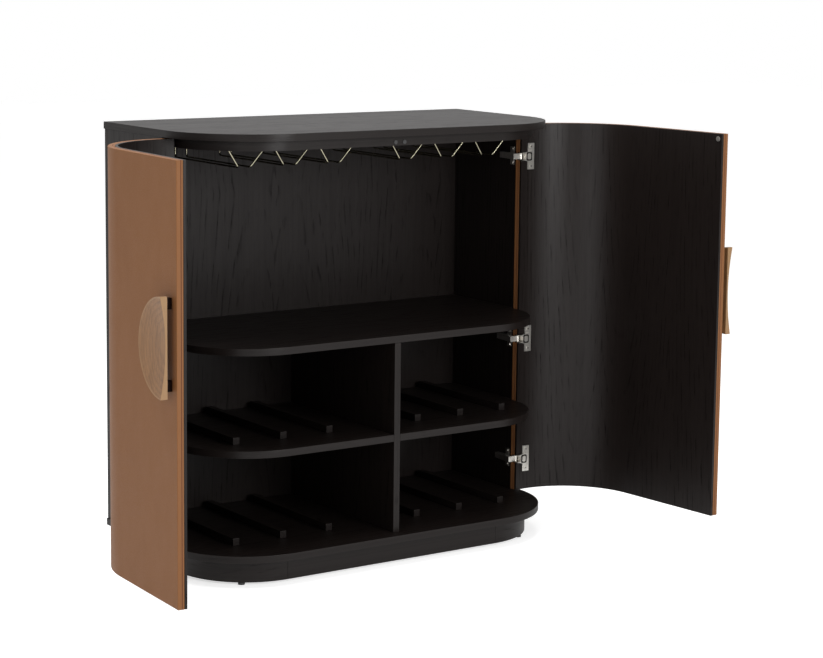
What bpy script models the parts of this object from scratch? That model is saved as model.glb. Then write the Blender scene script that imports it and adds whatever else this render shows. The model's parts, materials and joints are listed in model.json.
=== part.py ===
"""Bar cabinet with two curved, leather covered doors standing open.

Metres, +Z up, the front faces -Y. Plan shapes are worked out about the cabinet's
centre line (x = 0) and mid depth (y = 0), and right hand pieces are mirrored for
the left. The last step moves everything so that the origin lies on the floor under
the middle of the open cabinet's bounding box.
"""
import math

import bmesh
import bpy
from mathutils import Vector

# Case
WIDTH = 1.000
DEPTH = 0.505
HEIGHT = 1.008
CORNER_RADIUS = 0.210
BOARD = 0.0165
SUB_TOP_THICKNESS = 0.0224
TOP_OVERHANG = 0.003
BACK_INSET = 0.010
GAP = 0.0003

# Heights from the floor up
FOOT_HEIGHT = 0.006
PLINTH_HEIGHT = 0.0518
LOWER_BAY_HEIGHT = 0.2142
MIDDLE_BAY_HEIGHT = 0.213

# Plinth and feet
PLINTH_INSET = 0.0327
FOOT_RADIUS = 0.008
FOOT_ANGLE = 55.0
REAR_FOOT_FROM_BACK = 0.030

# Doors
DOOR_THICKNESS = 0.0215
LEATHER = 0.002
LEATHER_WRAP = 0.0150
DOOR_GAP_ABOVE = 0.0025
DOOR_GAP_BELOW = 0.0025
MEETING_GAP = 0.002
HINGE_END_STRAIGHT = 0.0137
SHELF_CLEARANCE = 0.0035
PIVOT_DEPTH = 0.0101
PIVOT_INSET = 0.0077
SWING_CLEARANCE = 0.0015
RIGHT_OPEN_DEGREES = 94.5
LEFT_OPEN_DEGREES = 93.3

# Hinges
HINGE_FROM_DOOR_TOP = 0.079
HINGE_FROM_DOOR_BOTTOM = 0.078
HINGE_BELOW_SHELF = 0.060
FLANGE_FROM_END = 0.0285
FLANGE_WIDTH = 0.0195
FLANGE_HEIGHT = 0.0644
FLANGE_THICKNESS = 0.002
FLANGE_SCREW_SPACING = 0.048
SCREW_HEAD_RADIUS = 0.004
SCREW_HEAD_HEIGHT = 0.0014
CUP_RADIUS = 0.0125
CUP_DEPTH = 0.0095
CUP_FROM_END = 0.022
CUP_CLEARANCE = 0.0004
COVER_FROM_END = 0.002
COVER_LENGTH = 0.028
COVER_LOW = 0.0024
COVER_HIGH = 0.0055
COVER_NARROW = 0.016
COVER_WIDE = 0.031
KNUCKLE_RADIUS = 0.004
KNUCKLE_HEIGHT = 0.0136
PIN_RADIUS = 0.0017
PIN_CLEARANCE = 0.0003
EAR_THICKNESS = 0.0022
EAR_CLEARANCE = 0.0004
NOTCH_CLEARANCE = 0.0008
NOTCH_OVERRUN = 0.010
FORK_CLEARANCE = 0.0006
ARM_STRIP_THICKNESS = 0.0045
ARM_INSIDE_OFFSET = 0.0125
ARM_LINK_THICKNESS = 0.005
ARM_BODY_LENGTH = 0.046
ARM_BODY_DEPTH = 0.0115
PLATE_THICKNESS = 0.0025
PLATE_LENGTH = 0.014
PLATE_HEIGHT = 0.044
PLATE_SCREW_SPACING = 0.034

# Handles
HANDLE_RADIUS = 0.104
HANDLE_ABOVE_DOOR_BOTTOM = 0.538
HANDLE_SETBACK = 0.0065
HANDLE_STANDOFF = 0.0175
HANDLE_RIM = 0.016
HANDLE_MIDDLE = 0.0045
SPACER_BELOW_TIP = 0.006
SPACER_ABOVE_TIP = 0.012
SPACER_HEIGHT = 0.023
SPACER_WIDTH = 0.012
SPACER_FROM_EDGE = 0.015

# Magnetic catches
MAGNET_RADIUS = 0.005
MAGNET_LENGTH = 0.012
MAGNET_PROUD = 0.0012
MAGNET_FROM_CENTRE = 0.012
MAGNET_ABOVE_EDGE = 0.008
STRIKE_RADIUS = 0.006
STRIKE_THICKNESS = 0.0015

# Bottle rails
RAIL_SIZE = 0.017
RAIL_BACK_CLEARANCE = 0.016
RAIL_PITCH = 0.1235
RAILS_PER_BAY = 3
RAIL_SETBACK = 0.0945

# Stemware racks
CHANNELS_PER_RACK = 3
CHANNEL_PITCH = 0.118
FIRST_CHANNEL = 0.0985
CHANNEL_GAP = 0.030
WIRE_RADIUS = 0.0020
RACK_DROP = 0.0444
RACK_SETBACK = 0.1215
RACK_BACK_CLEARANCE = 0.039
FUNNEL_SPREAD = 0.0323
FUNNEL_LEAN = 0.009
WIRE_BEND = 0.008
STRAP_WIDTH = 0.016
STRAP_THICKNESS = 0.003
STRAP_MARGIN = 0.010

# Facets
SMOOTH_ANGLE = 50
CORNER_STEPS = 22
ROUND_SIDES = 20
PIN_SIDES = 16
WIRE_SIDES = 8
BEND_STEPS = 4
HANDLE_STEPS = 24
DISH_RINGS = 6

# Plan places worked out from the sizes above
HALF_WIDTH = WIDTH / 2
BACK_Y = DEPTH / 2
FRONT_Y = -DEPTH / 2
CORNER_X = HALF_WIDTH - CORNER_RADIUS
CORNER_Y = FRONT_Y + CORNER_RADIUS
OUTER_X = HALF_WIDTH - TOP_OVERHANG
INSIDE_X = OUTER_X - BOARD
BACK_FACE_Y = BACK_Y - BACK_INSET - BOARD
SHELF_SETBACK = TOP_OVERHANG + DOOR_THICKNESS + SHELF_CLEARANCE
SHELF_FRONT_Y = FRONT_Y + SHELF_SETBACK
DOOR_END_Y = CORNER_Y + HINGE_END_STRAIGHT
PIVOT_X = OUTER_X - PIVOT_DEPTH
PIVOT_Y = DOOR_END_Y - PIVOT_INSET
SIDE_FRONT_Y = PIVOT_Y + math.hypot(PIVOT_DEPTH, PIVOT_INSET) + SWING_CLEARANCE

# Levels worked out from the sizes above
BASE_LOW = FOOT_HEIGHT + PLINTH_HEIGHT
BASE_TOP = BASE_LOW + BOARD
LOWER_SHELF_LOW = BASE_TOP + LOWER_BAY_HEIGHT
LOWER_SHELF_TOP = LOWER_SHELF_LOW + BOARD
MIDDLE_SHELF_LOW = LOWER_SHELF_TOP + MIDDLE_BAY_HEIGHT
TOP_LOW = HEIGHT - BOARD
SUB_TOP_LOW = TOP_LOW - GAP - SUB_TOP_THICKNESS
DOOR_LOW = BASE_TOP + DOOR_GAP_BELOW
DOOR_HIGH = TOP_LOW - DOOR_GAP_ABOVE
HINGE_LEVELS = {
    "bottom": DOOR_LOW + HINGE_FROM_DOOR_BOTTOM,
    "middle": MIDDLE_SHELF_LOW - HINGE_BELOW_SHELF,
    "top": DOOR_HIGH - HINGE_FROM_DOOR_TOP,
}
HANDLE_LEVEL = DOOR_LOW + HANDLE_ABOVE_DOOR_BOTTOM
MAGNET_LEVEL = SUB_TOP_LOW + MAGNET_ABOVE_EDGE
SIDES = {"right": 1, "left": -1}


def make_material(name, colour, roughness, metallic=0.0):
    """A plain surface with one colour, roughness and metallic value."""
    material = bpy.data.materials.new(name)
    material.use_nodes = True
    shader = material.node_tree.nodes["Principled BSDF"]
    shader.inputs["Base Color"].default_value = (*colour, 1.0)
    shader.inputs["Roughness"].default_value = roughness
    shader.inputs["Metallic"].default_value = metallic
    return material


def arc(centre_x, centre_y, radius, start, end, steps):
    """Points along an arc in degrees from +X, both ends included."""
    points = []
    for index in range(steps + 1):
        angle = math.radians(start + (end - start) * index / steps)
        points.append((centre_x + radius * math.cos(angle), centre_y + radius * math.sin(angle)))
    return points


def circle(centre_x, centre_y, radius, sides):
    """Points of a closed circle, the first one not repeated."""
    return arc(centre_x, centre_y, radius, 0, 360, sides)[:-1]


def mirrored(points, side):
    """The same plan points on the right (1) or the left (-1)."""
    return [(side * x, y) for x, y in points]


def rounded_plan(half_width, back, front, radius):
    """A board's outline with square back corners and round front corners."""
    corner_x = half_width - radius
    right = arc(corner_x, front + radius, radius, 0, -90, CORNER_STEPS)
    left = arc(-corner_x, front + radius, radius, -90, -180, CORNER_STEPS)
    return [(-half_width, back), (half_width, back)] + right + left


def shelf_edge():
    """A shelf's right edge, from its back corner round to the flat front."""
    radius = CORNER_RADIUS - SHELF_SETBACK
    shoulder = SIDE_FRONT_Y
    points = [(INSIDE_X - GAP, BACK_FACE_Y - GAP), (INSIDE_X - GAP, shoulder)]
    points.append((HALF_WIDTH - SHELF_SETBACK, shoulder))
    return points + arc(CORNER_X, CORNER_Y, radius, 0, -90, CORNER_STEPS)


def shelf_plan():
    """The outline of a board that fills the case from side to side."""
    right = shelf_edge()
    return right + mirrored(reversed(right), -1)


def half_shelf_plan(side):
    """The outline of a board between the divider and one side panel."""
    start = BOARD / 2 + GAP
    points = [(start, BACK_FACE_Y - GAP)] + shelf_edge() + [(start, SHELF_FRONT_Y)]
    return mirrored(points, side)


def prism(outline, low, high):
    """A closed upright solid between two levels."""
    shape = bmesh.new()
    floor = [shape.verts.new((x, y, low)) for x, y in outline]
    roof = [shape.verts.new((x, y, high)) for x, y in outline]
    shape.faces.new(floor)
    shape.faces.new(roof)
    for index in range(len(outline)):
        following = (index + 1) % len(outline)
        shape.faces.new((floor[index], floor[following], roof[following], roof[index]))
    return shape


def block(low_corner, high_corner):
    """A box between two opposite corners."""
    x0, y0, z0 = low_corner
    x1, y1, z1 = high_corner
    return prism([(x0, y0), (x1, y0), (x1, y1), (x0, y1)], z0, z1)


def make_mesh(name, shape):
    """Turn a bmesh into a mesh with its faces pointing out."""
    bmesh.ops.recalc_face_normals(shape, faces=shape.faces)
    mesh = bpy.data.meshes.new(name)
    shape.to_mesh(mesh)
    shape.free()
    return mesh


def combine(name, shape, others, operation):
    """Join other shapes to a first one, or cut them from it."""
    target = bpy.data.objects.new(name, make_mesh(name, shape))
    bpy.context.collection.objects.link(target)
    tools = []
    for number, other in enumerate(others):
        tool_name = f"{name}_tool_{number}"
        tool = bpy.data.objects.new(tool_name, make_mesh(tool_name, other))
        bpy.context.collection.objects.link(tool)
        modifier = target.modifiers.new(tool_name, "BOOLEAN")
        modifier.operation = operation
        modifier.object = tool
        tools.append(tool)
    graph = bpy.context.evaluated_depsgraph_get()
    mesh = bpy.data.meshes.new_from_object(target.evaluated_get(graph))
    result = bmesh.new()
    result.from_mesh(mesh)
    for used in [target] + tools:
        bpy.data.objects.remove(used)
    return result


def add_piece(name, shape, look, location=(0, 0, 0), parent=None, smooth=False):
    """Add one named piece with its material, under a parent if it moves."""
    mesh = make_mesh(name, shape)
    mesh.materials.clear()
    mesh.materials.append(look)
    if smooth:
        mesh.shade_smooth()
        mesh.set_sharp_from_angle(angle=math.radians(SMOOTH_ANGLE))
    piece = bpy.data.objects.new(name, mesh)
    bpy.context.collection.objects.link(piece)
    piece.parent = parent
    piece.location = location
    return piece


def add_axis(name, location):
    """Add a guide on a joint's axis that the moving pieces hang from."""
    guide = bpy.data.objects.new(name, None)
    guide.location = location
    bpy.context.collection.objects.link(guide)
    return guide


def add_case(looks):
    """Top, base, sides, back, shelves and divider."""
    outline = rounded_plan(HALF_WIDTH, BACK_Y, FRONT_Y, CORNER_RADIUS)
    oak = looks["stained_oak"]
    add_piece("top_panel", prism(outline, 0, BOARD), oak, (0, 0, TOP_LOW), smooth=True)
    add_piece("base_panel", prism(outline, 0, BOARD), oak, (0, 0, BASE_LOW), smooth=True)
    side_height = TOP_LOW - BASE_TOP - 2 * GAP
    for name, side in SIDES.items():
        shape = block((-BOARD / 2, SIDE_FRONT_Y, 0), (BOARD / 2, BACK_Y, side_height))
        place = (side * (OUTER_X - BOARD / 2), 0, BASE_TOP + GAP)
        add_piece(f"side_panel_{name}", shape, oak, place)
    back_half = INSIDE_X - GAP
    shape = block((-back_half, BACK_FACE_Y, 0), (back_half, BACK_FACE_Y + BOARD, side_height))
    add_piece("back_panel", shape, oak, (0, 0, BASE_TOP + GAP))
    shape = prism(shelf_plan(), 0, BOARD)
    add_piece("middle_shelf", shape, oak, (0, 0, MIDDLE_SHELF_LOW), smooth=True)
    for name, side in SIDES.items():
        shape = prism(half_shelf_plan(side), 0, BOARD)
        place = (0, 0, LOWER_SHELF_LOW)
        add_piece(f"lower_shelf_{name}", shape, oak, place, smooth=True)
    divider_height = MIDDLE_SHELF_LOW - BASE_TOP - 2 * GAP
    low = (-BOARD / 2, SHELF_FRONT_Y, 0)
    high = (BOARD / 2, BACK_FACE_Y - GAP, divider_height)
    add_piece("centre_divider", block(low, high), oak, (0, 0, BASE_TOP + GAP))


def along_y(shape, place=(0, 0, 0)):
    """Turn an upright round shape to point along +Y and move it to its place."""
    for vertex in shape.verts:
        x, z, y = vertex.co
        vertex.co = Vector(place) + Vector((x, y, z))
    return shape


def add_sub_top(looks):
    """The thick board under the top, bored for a magnet on each side of the middle."""
    bores = []
    for side in SIDES.values():
        outline = circle(0, 0, MAGNET_RADIUS + GAP, ROUND_SIDES)
        bore = prism(outline, -MAGNET_LENGTH, MAGNET_LENGTH + GAP - MAGNET_PROUD)
        place = (side * MAGNET_FROM_CENTRE, SHELF_FRONT_Y, MAGNET_ABOVE_EDGE)
        bores.append(along_y(bore, place))
    board = prism(shelf_plan(), 0, SUB_TOP_THICKNESS)
    shape = combine("sub_top_panel", board, bores, "DIFFERENCE")
    add_piece("sub_top_panel", shape, looks["stained_oak"], (0, 0, SUB_TOP_LOW), smooth=True)
    for name, side in SIDES.items():
        magnet = prism(circle(0, 0, MAGNET_RADIUS, ROUND_SIDES), -MAGNET_PROUD,
                       MAGNET_LENGTH - MAGNET_PROUD)
        place = (side * MAGNET_FROM_CENTRE, SHELF_FRONT_Y, MAGNET_LEVEL)
        shape = along_y(magnet)
        add_piece(f"catch_magnet_{name}", shape, looks["foot"], place, smooth=True)


def add_plinth(looks):
    """Front and back boards, two sides with bent front corners, and four round feet."""
    oak = looks["stained_oak"]
    height = PLINTH_HEIGHT - GAP
    outer = HALF_WIDTH - PLINTH_INSET
    front = FRONT_Y + PLINTH_INSET
    back = BACK_Y - PLINTH_INSET
    radius = CORNER_RADIUS - PLINTH_INSET
    place = (0, 0, FOOT_HEIGHT)
    straight = CORNER_X - GAP
    add_piece("plinth_front", block((-straight, front, 0), (straight, front + BOARD, height)),
              oak, place)
    add_piece("plinth_back", block((-outer, back - BOARD, 0), (outer, back, height)),
              oak, place)
    side_end = back - BOARD - GAP
    for name, side in SIDES.items():
        outline = [(outer, side_end)] + arc(CORNER_X, CORNER_Y, radius, 0, -90, CORNER_STEPS)
        outline += arc(CORNER_X, CORNER_Y, radius - BOARD, -90, 0, CORNER_STEPS)
        outline.append((outer - BOARD, side_end))
        shape = prism(mirrored(outline, side), 0, height)
        add_piece(f"plinth_side_{name}", shape, oak, place, smooth=True)
        add_feet(name, side, radius - BOARD / 2, outer - BOARD / 2, looks)


def add_feet(name, side, bend_radius, side_x, looks):
    """One foot under the corner bend and one under the side board near the back."""
    bend = arc(CORNER_X, CORNER_Y, bend_radius, -FOOT_ANGLE, -FOOT_ANGLE, 1)[0]
    places = {"front": bend, "rear": (side_x, BACK_Y - PLINTH_INSET - REAR_FOOT_FROM_BACK)}
    for end, (x, y) in places.items():
        shape = prism(circle(0, 0, FOOT_RADIUS, ROUND_SIDES), 0, FOOT_HEIGHT - GAP)
        add_piece(f"foot_{end}_{name}", shape, looks["foot"], (side * x, y, 0), smooth=True)


def add_bottle_rails(looks):
    """Square rails that run front to back on the base and on the lower shelves."""
    front = SHELF_FRONT_Y + RAIL_SETBACK
    length = BACK_FACE_Y - RAIL_BACK_CLEARANCE - front
    half = RAIL_SIZE / 2
    levels = {"base": BASE_TOP, "shelf": LOWER_SHELF_TOP}
    for level_name, level in levels.items():
        for name, side in SIDES.items():
            for number in range(1, RAILS_PER_BAY + 1):
                shape = block((-half, 0, 0), (half, length, RAIL_SIZE))
                place = (side * number * RAIL_PITCH, front, level + GAP)
                piece_name = f"bottle_rail_{level_name}_{name}_{number}"
                add_piece(piece_name, shape, looks["stained_oak"], place)


def rounded_path(corners, radius, steps):
    """A path through corner points with each inner corner bent to an arc."""
    points = [corners[0]]
    for before, corner, after in zip(corners, corners[1:], corners[2:]):
        toward = (before - corner).normalized()
        away = (after - corner).normalized()
        half_turn = toward.angle(away) / 2
        reach = radius / math.tan(half_turn)
        bisector = (toward + away).normalized()
        centre = corner + bisector * (radius / math.sin(half_turn))
        start = corner + toward * reach - centre
        end = corner + away * reach - centre
        for step in range(steps + 1):
            spoke = start.slerp(end, step / steps).normalized()
            points.append(centre + spoke * radius)
    points.append(corners[-1])
    return points


def tube(points, radius, sides):
    """A round bar along a path, closed at both ends."""
    shape = bmesh.new()
    rings = []
    across = Vector((1, 0, 0))
    for index, point in enumerate(points):
        before = points[max(index - 1, 0)]
        after = points[min(index + 1, len(points) - 1)]
        heading = (after - before).normalized()
        across = (across - heading * across.dot(heading)).normalized()
        up = heading.cross(across)
        ring = []
        for side in range(sides):
            angle = 2 * math.pi * side / sides
            offset = across * math.cos(angle) + up * math.sin(angle)
            ring.append(shape.verts.new(point + offset * radius))
        rings.append(ring)
    for ring, following in zip(rings, rings[1:]):
        for side in range(sides):
            after = (side + 1) % sides
            shape.faces.new((ring[side], ring[after], following[after], following[side]))
    shape.faces.new(rings[0])
    shape.faces.new(rings[-1])
    return shape


def rack_ends():
    """The front and rear bends of the rack wires, as places along Y."""
    return SHELF_FRONT_Y + RACK_SETBACK, BACK_FACE_Y - RACK_BACK_CLEARANCE


def rack_wire(x, outward):
    """One bent wire: slanted front leg, long rail and upright rear leg."""
    leg_top = -STRAP_THICKNESS / 2 - GAP
    front, rear = rack_ends()
    corners = [
        Vector((x + outward * FUNNEL_SPREAD, front - FUNNEL_LEAN, leg_top)),
        Vector((x, front, -RACK_DROP)),
        Vector((x, rear, -RACK_DROP)),
        Vector((x, rear, leg_top)),
    ]
    return tube(rounded_path(corners, WIRE_BEND, BEND_STEPS), WIRE_RADIUS, WIRE_SIDES)


def add_racks(looks):
    """A rack of wire channels on each side, hung from two straps under the sub top."""
    front, rear = rack_ends()
    strap_places = (front - FUNNEL_LEAN, rear)
    reach = CHANNEL_GAP / 2 + FUNNEL_SPREAD + STRAP_MARGIN
    last_channel = FIRST_CHANNEL + (CHANNELS_PER_RACK - 1) * CHANNEL_PITCH
    for name, side in SIDES.items():
        ends = sorted((side * (FIRST_CHANNEL - reach), side * (last_channel + reach)))
        straps = []
        for y in strap_places:
            low = (ends[0], y - STRAP_WIDTH / 2, -GAP - STRAP_THICKNESS)
            high = (ends[1], y + STRAP_WIDTH / 2, -GAP)
            straps.append(block(low, high))
        wires = []
        for number in range(CHANNELS_PER_RACK):
            middle = side * (FIRST_CHANNEL + number * CHANNEL_PITCH)
            for outward in (-1, 1):
                wires.append(rack_wire(middle + outward * CHANNEL_GAP / 2, outward))
        shape = combine(f"stemware_rack_{name}", straps[0], wires + straps[1:], "UNION")
        place = (0, 0, SUB_TOP_LOW)
        add_piece(f"stemware_rack_{name}", shape, looks["brass"], place, smooth=True)


def door_edge(depth, trim):
    """The right door's plan line at a depth from its outer face, hinge end first."""
    radius = CORNER_RADIUS - TOP_OVERHANG - depth
    points = [(OUTER_X - depth, DOOR_END_Y - trim)]
    points += arc(CORNER_X, CORNER_Y, radius, 0, -90, CORNER_STEPS)
    points.append((MEETING_GAP / 2 + trim, FRONT_Y + TOP_OVERHANG + depth))
    return points


def door_plan(outer_depth, inner_depth, trim, side):
    """A closed door's band outline about its pivot."""
    outline = door_edge(outer_depth, trim) + list(reversed(door_edge(inner_depth, trim)))
    return mirrored([(x - PIVOT_X, y - PIVOT_Y) for x, y in outline], side)


class DoorFrame:
    """Places on the inner face of the closed door, counted from its hinge end."""

    def __init__(self, distance, side):
        radius = CORNER_RADIUS - TOP_OVERHANG - DOOR_THICKNESS
        angle = (distance - HINGE_END_STRAIGHT) / radius
        self.side = side
        self.along = Vector((-math.sin(angle), -math.cos(angle)))
        self.inward = Vector((-math.cos(angle), math.sin(angle)))
        self.point = Vector((CORNER_X, CORNER_Y)) - self.inward * radius
        self.point -= Vector((PIVOT_X, PIVOT_Y))

    def plan(self, along, inward):
        """A plan point about the pivot from distances along and off the face."""
        place = self.point + self.along * along + self.inward * inward
        return (self.side * place.x, place.y)

    def local(self, x, y):
        """Distances along and off the face of a right hand plan point."""
        offset = Vector((x, y)) - self.point
        return offset.dot(self.along), offset.dot(self.inward)

    def wall(self, outline, low, high):
        """An upright solid from (along, inward) points."""
        return prism([self.plan(along, inward) for along, inward in outline], low, high)

    def stud(self, along, level, radius, low, high, sides):
        """A round stud square to the face, from one depth to another."""
        shape = prism(circle(along, level, radius, sides), low, high)
        for vertex in shape.verts:
            x, y = self.plan(vertex.co.x, vertex.co.z)
            vertex.co = Vector((x, y, vertex.co.y))
        return shape


def face_rise(distance, frame):
    """How far the curved inner face rises over a frame's flat plane at a distance."""
    spot = DoorFrame(distance, 1).point
    return (spot - frame.point).dot(frame.inward)


def hinge_notch(frame, level):
    """The mortise that the pin and its ears turn in, at the door's hinge end."""
    depth = frame.local(0, 0)[1] - KNUCKLE_RADIUS - NOTCH_CLEARANCE
    outer_end = -FLANGE_FROM_END - NOTCH_OVERRUN
    outline = [(outer_end, depth), (ear_root() + NOTCH_CLEARANCE, depth),
               (ear_root() + NOTCH_CLEARANCE, NOTCH_OVERRUN), (outer_end, NOTCH_OVERRUN)]
    half = KNUCKLE_HEIGHT / 2 + EAR_CLEARANCE + EAR_THICKNESS + NOTCH_CLEARANCE
    return frame.wall(outline, level - half, level + half)


def ear_root():
    """Where the ears end along the door, at the middle of the cup."""
    return CUP_FROM_END - FLANGE_FROM_END - CUP_RADIUS / 2


def fork_gap(frame, level):
    """The opening between the ears that the arm's knuckle and link swing in."""
    pin_along = frame.local(0, 0)[0]
    inner_end = pin_along + KNUCKLE_RADIUS + FORK_CLEARANCE
    outer_end = -FLANGE_FROM_END - NOTCH_OVERRUN
    outline = [(outer_end, -DOOR_THICKNESS), (inner_end, -DOOR_THICKNESS),
               (inner_end, NOTCH_OVERRUN), (outer_end, NOTCH_OVERRUN)]
    half = KNUCKLE_HEIGHT / 2 + FORK_CLEARANCE
    return frame.wall(outline, level - half, level + half)


def cup_pocket(frame, level):
    """The round pocket for the hinge cup in the door's inner face."""
    along = CUP_FROM_END - FLANGE_FROM_END
    radius = CUP_RADIUS + CUP_CLEARANCE
    return frame.stud(along, level, radius, -CUP_DEPTH - CUP_CLEARANCE, DOOR_THICKNESS, ROUND_SIDES)


def hinge_cup(name, frame, level):
    """Flange, cup, cover, ears and pin that are fixed to the door."""
    half_width = FLANGE_WIDTH / 2
    half_height = FLANGE_HEIGHT / 2
    back = face_rise(FLANGE_FROM_END + half_width, frame) + GAP
    front = back + FLANGE_THICKNESS
    flange = frame.wall([(-half_width, back), (half_width, back), (half_width, front),
                         (-half_width, front)], level - half_height, level + half_height)
    cup_along = CUP_FROM_END - FLANGE_FROM_END
    cup = frame.stud(cup_along, level, CUP_RADIUS, -CUP_DEPTH, front + GAP, ROUND_SIDES)
    screws = []
    for offset in (-FLANGE_SCREW_SPACING / 2, FLANGE_SCREW_SPACING / 2):
        screws.append(frame.stud(0, level + offset, SCREW_HEAD_RADIUS, back + GAP,
                                 front + SCREW_HEAD_HEIGHT, PIN_SIDES))
    body = combine(name, flange, [cup, hinge_cover(frame, level)] + screws, "UNION")
    body = combine(name, body, [fork_gap(frame, level)], "DIFFERENCE")
    return combine(name, body, hinge_ears(frame, level), "UNION")


def hinge_cover(frame, level):
    """The raised cover, narrow at the door's hinge end and wide at the flange."""
    start = COVER_FROM_END - FLANGE_FROM_END
    outline = [(start, -COVER_NARROW / 2), (start + COVER_LENGTH, -COVER_WIDE / 2),
               (start + COVER_LENGTH, COVER_WIDE / 2), (start, COVER_NARROW / 2)]
    shape = prism(outline, COVER_LOW, COVER_HIGH)
    for vertex in shape.verts:
        x, y = frame.plan(vertex.co.x, vertex.co.z)
        vertex.co = Vector((x, y, level + vertex.co.y))
    return shape


def hinge_ears(frame, level):
    """Two ears that reach into the notch, and the pin between them."""
    along, inward = frame.local(0, 0)
    root_end = ear_root()
    root_high = (COVER_LOW + COVER_HIGH) / 2
    low = KNUCKLE_HEIGHT / 2 + EAR_CLEARANCE
    high = low + EAR_THICKNESS
    lean = math.degrees(math.atan2(root_high - inward, root_end - along))
    outline = arc(along, inward, KNUCKLE_RADIUS, 180, 270 + lean, ROUND_SIDES // 2)
    outline += [(root_end, root_high), (along - KNUCKLE_RADIUS, root_high)]
    ears = [frame.wall(outline, level + low, level + high),
            frame.wall(outline, level - high, level - low)]
    pin_centre = frame.plan(along, inward)
    middle = low + EAR_THICKNESS / 2
    ears.append(prism(circle(*pin_centre, PIN_RADIUS, PIN_SIDES), level - middle, level + middle))
    return ears


def hinge_arm(name, side, level):
    """Mounting plate, arm and knuckle that are fixed to the side panel."""
    half = KNUCKLE_HEIGHT / 2
    face = INSIDE_X - GAP
    strip_outer = INSIDE_X - ARM_INSIDE_OFFSET
    strip_inner = strip_outer - ARM_STRIP_THICKNESS
    link_front = PIVOT_Y - ARM_LINK_THICKNESS / 2
    link_back = PIVOT_Y + ARM_LINK_THICKNESS / 2
    body_front = SIDE_FRONT_Y + SWING_CLEARANCE
    body_back = body_front + ARM_BODY_LENGTH
    body_inner = face - ARM_BODY_DEPTH
    outline = [(face, body_front), (strip_outer, body_front), (strip_outer, link_back),
               (PIVOT_X, link_back), (PIVOT_X, link_front), (strip_inner, link_front),
               (strip_inner, body_front), (body_inner, body_back), (face, body_back)]
    arm = prism(mirrored(outline, side), level - half, level + half)
    knuckle = prism(mirrored(circle(PIVOT_X, PIVOT_Y, KNUCKLE_RADIUS, ROUND_SIDES), side),
                    level - half, level + half)
    plate_front = body_front + GAP
    plate_outline = [(face, plate_front), (face, plate_front + PLATE_LENGTH),
                     (face - PLATE_THICKNESS, plate_front + PLATE_LENGTH),
                     (face - PLATE_THICKNESS, plate_front)]
    plate = prism(mirrored(plate_outline, side), level - PLATE_HEIGHT / 2, level + PLATE_HEIGHT / 2)
    parts = [knuckle, plate]
    for offset in (-PLATE_SCREW_SPACING / 2, PLATE_SCREW_SPACING / 2):
        parts.append(plate_screw(side, plate_front + PLATE_LENGTH / 2, level + offset))
    solid = combine(name, arm, parts, "UNION")
    bore_outline = mirrored(circle(PIVOT_X, PIVOT_Y, PIN_RADIUS + PIN_CLEARANCE, PIN_SIDES), side)
    bore = prism(bore_outline, level - KNUCKLE_HEIGHT, level + KNUCKLE_HEIGHT)
    return combine(name, solid, [bore], "DIFFERENCE")


def plate_screw(side, y, level):
    """A round screw head on the mounting plate."""
    face = INSIDE_X - GAP - PLATE_THICKNESS
    shape = prism(circle(y, level, SCREW_HEAD_RADIUS, PIN_SIDES), face - SCREW_HEAD_HEIGHT, face + GAP)
    for vertex in shape.verts:
        vertex.co = Vector((side * vertex.co.z, vertex.co.x, vertex.co.y))
    return shape


def half_disc(side):
    """A half round pull with a flat back and a front hollowed like a shallow dish."""
    fall = HANDLE_RIM - HANDLE_MIDDLE
    dish_radius = (HANDLE_RADIUS ** 2 + fall ** 2) / (2 * fall)
    shape = bmesh.new()

    def corner(radius, angle, depth):
        x = side * radius * math.sin(angle)
        return shape.verts.new((x, -depth, radius * math.cos(angle)))

    middle = corner(0, 0, HANDLE_MIDDLE)
    rings = []
    for ring in range(1, DISH_RINGS + 1):
        radius = HANDLE_RADIUS * ring / DISH_RINGS
        depth = HANDLE_MIDDLE + dish_radius - math.sqrt(dish_radius ** 2 - radius ** 2)
        angles = [math.pi * step / HANDLE_STEPS for step in range(HANDLE_STEPS + 1)]
        rings.append([corner(radius, angle, depth) for angle in angles])
    back = [corner(HANDLE_RADIUS, math.pi * step / HANDLE_STEPS, 0) for step in range(HANDLE_STEPS + 1)]
    for step in range(HANDLE_STEPS):
        shape.faces.new((middle, rings[0][step], rings[0][step + 1]))
        for ring, following in zip(rings, rings[1:]):
            shape.faces.new((ring[step], following[step], following[step + 1], ring[step + 1]))
        shape.faces.new((rings[-1][step], back[step], back[step + 1], rings[-1][step + 1]))
    shape.faces.new(back)
    straight = [back[0]] + [ring[0] for ring in reversed(rings)] + [middle]
    straight += [ring[-1] for ring in rings] + [back[-1]]
    shape.faces.new(straight)
    return shape


def add_handle(name, side, looks, pivot):
    """The half round pull and the two blocks that hold it off the leather."""
    start = MEETING_GAP / 2 + HANDLE_SETBACK
    face = FRONT_Y + TOP_OVERHANG
    place = (side * (start - PIVOT_X), face - HANDLE_STANDOFF - PIVOT_Y, HANDLE_LEVEL)
    shape = half_disc(side)
    add_piece(f"handle_{name}", shape, looks["light_oak"], place, pivot, smooth=True)
    middle = HANDLE_RADIUS - SPACER_HEIGHT / 2
    offsets = {"upper": middle - SPACER_BELOW_TIP, "lower": SPACER_ABOVE_TIP - middle}
    for end, offset in offsets.items():
        low = (-SPACER_WIDTH / 2, -HANDLE_STANDOFF + GAP, -SPACER_HEIGHT / 2)
        high = (SPACER_WIDTH / 2, -GAP, SPACER_HEIGHT / 2)
        x = start + SPACER_FROM_EDGE + SPACER_WIDTH / 2
        spot = (side * (x - PIVOT_X), face - PIVOT_Y, HANDLE_LEVEL + offset)
        add_piece(f"handle_spacer_{end}_{name}", block(low, high), looks["spacer"], spot, pivot)


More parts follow.
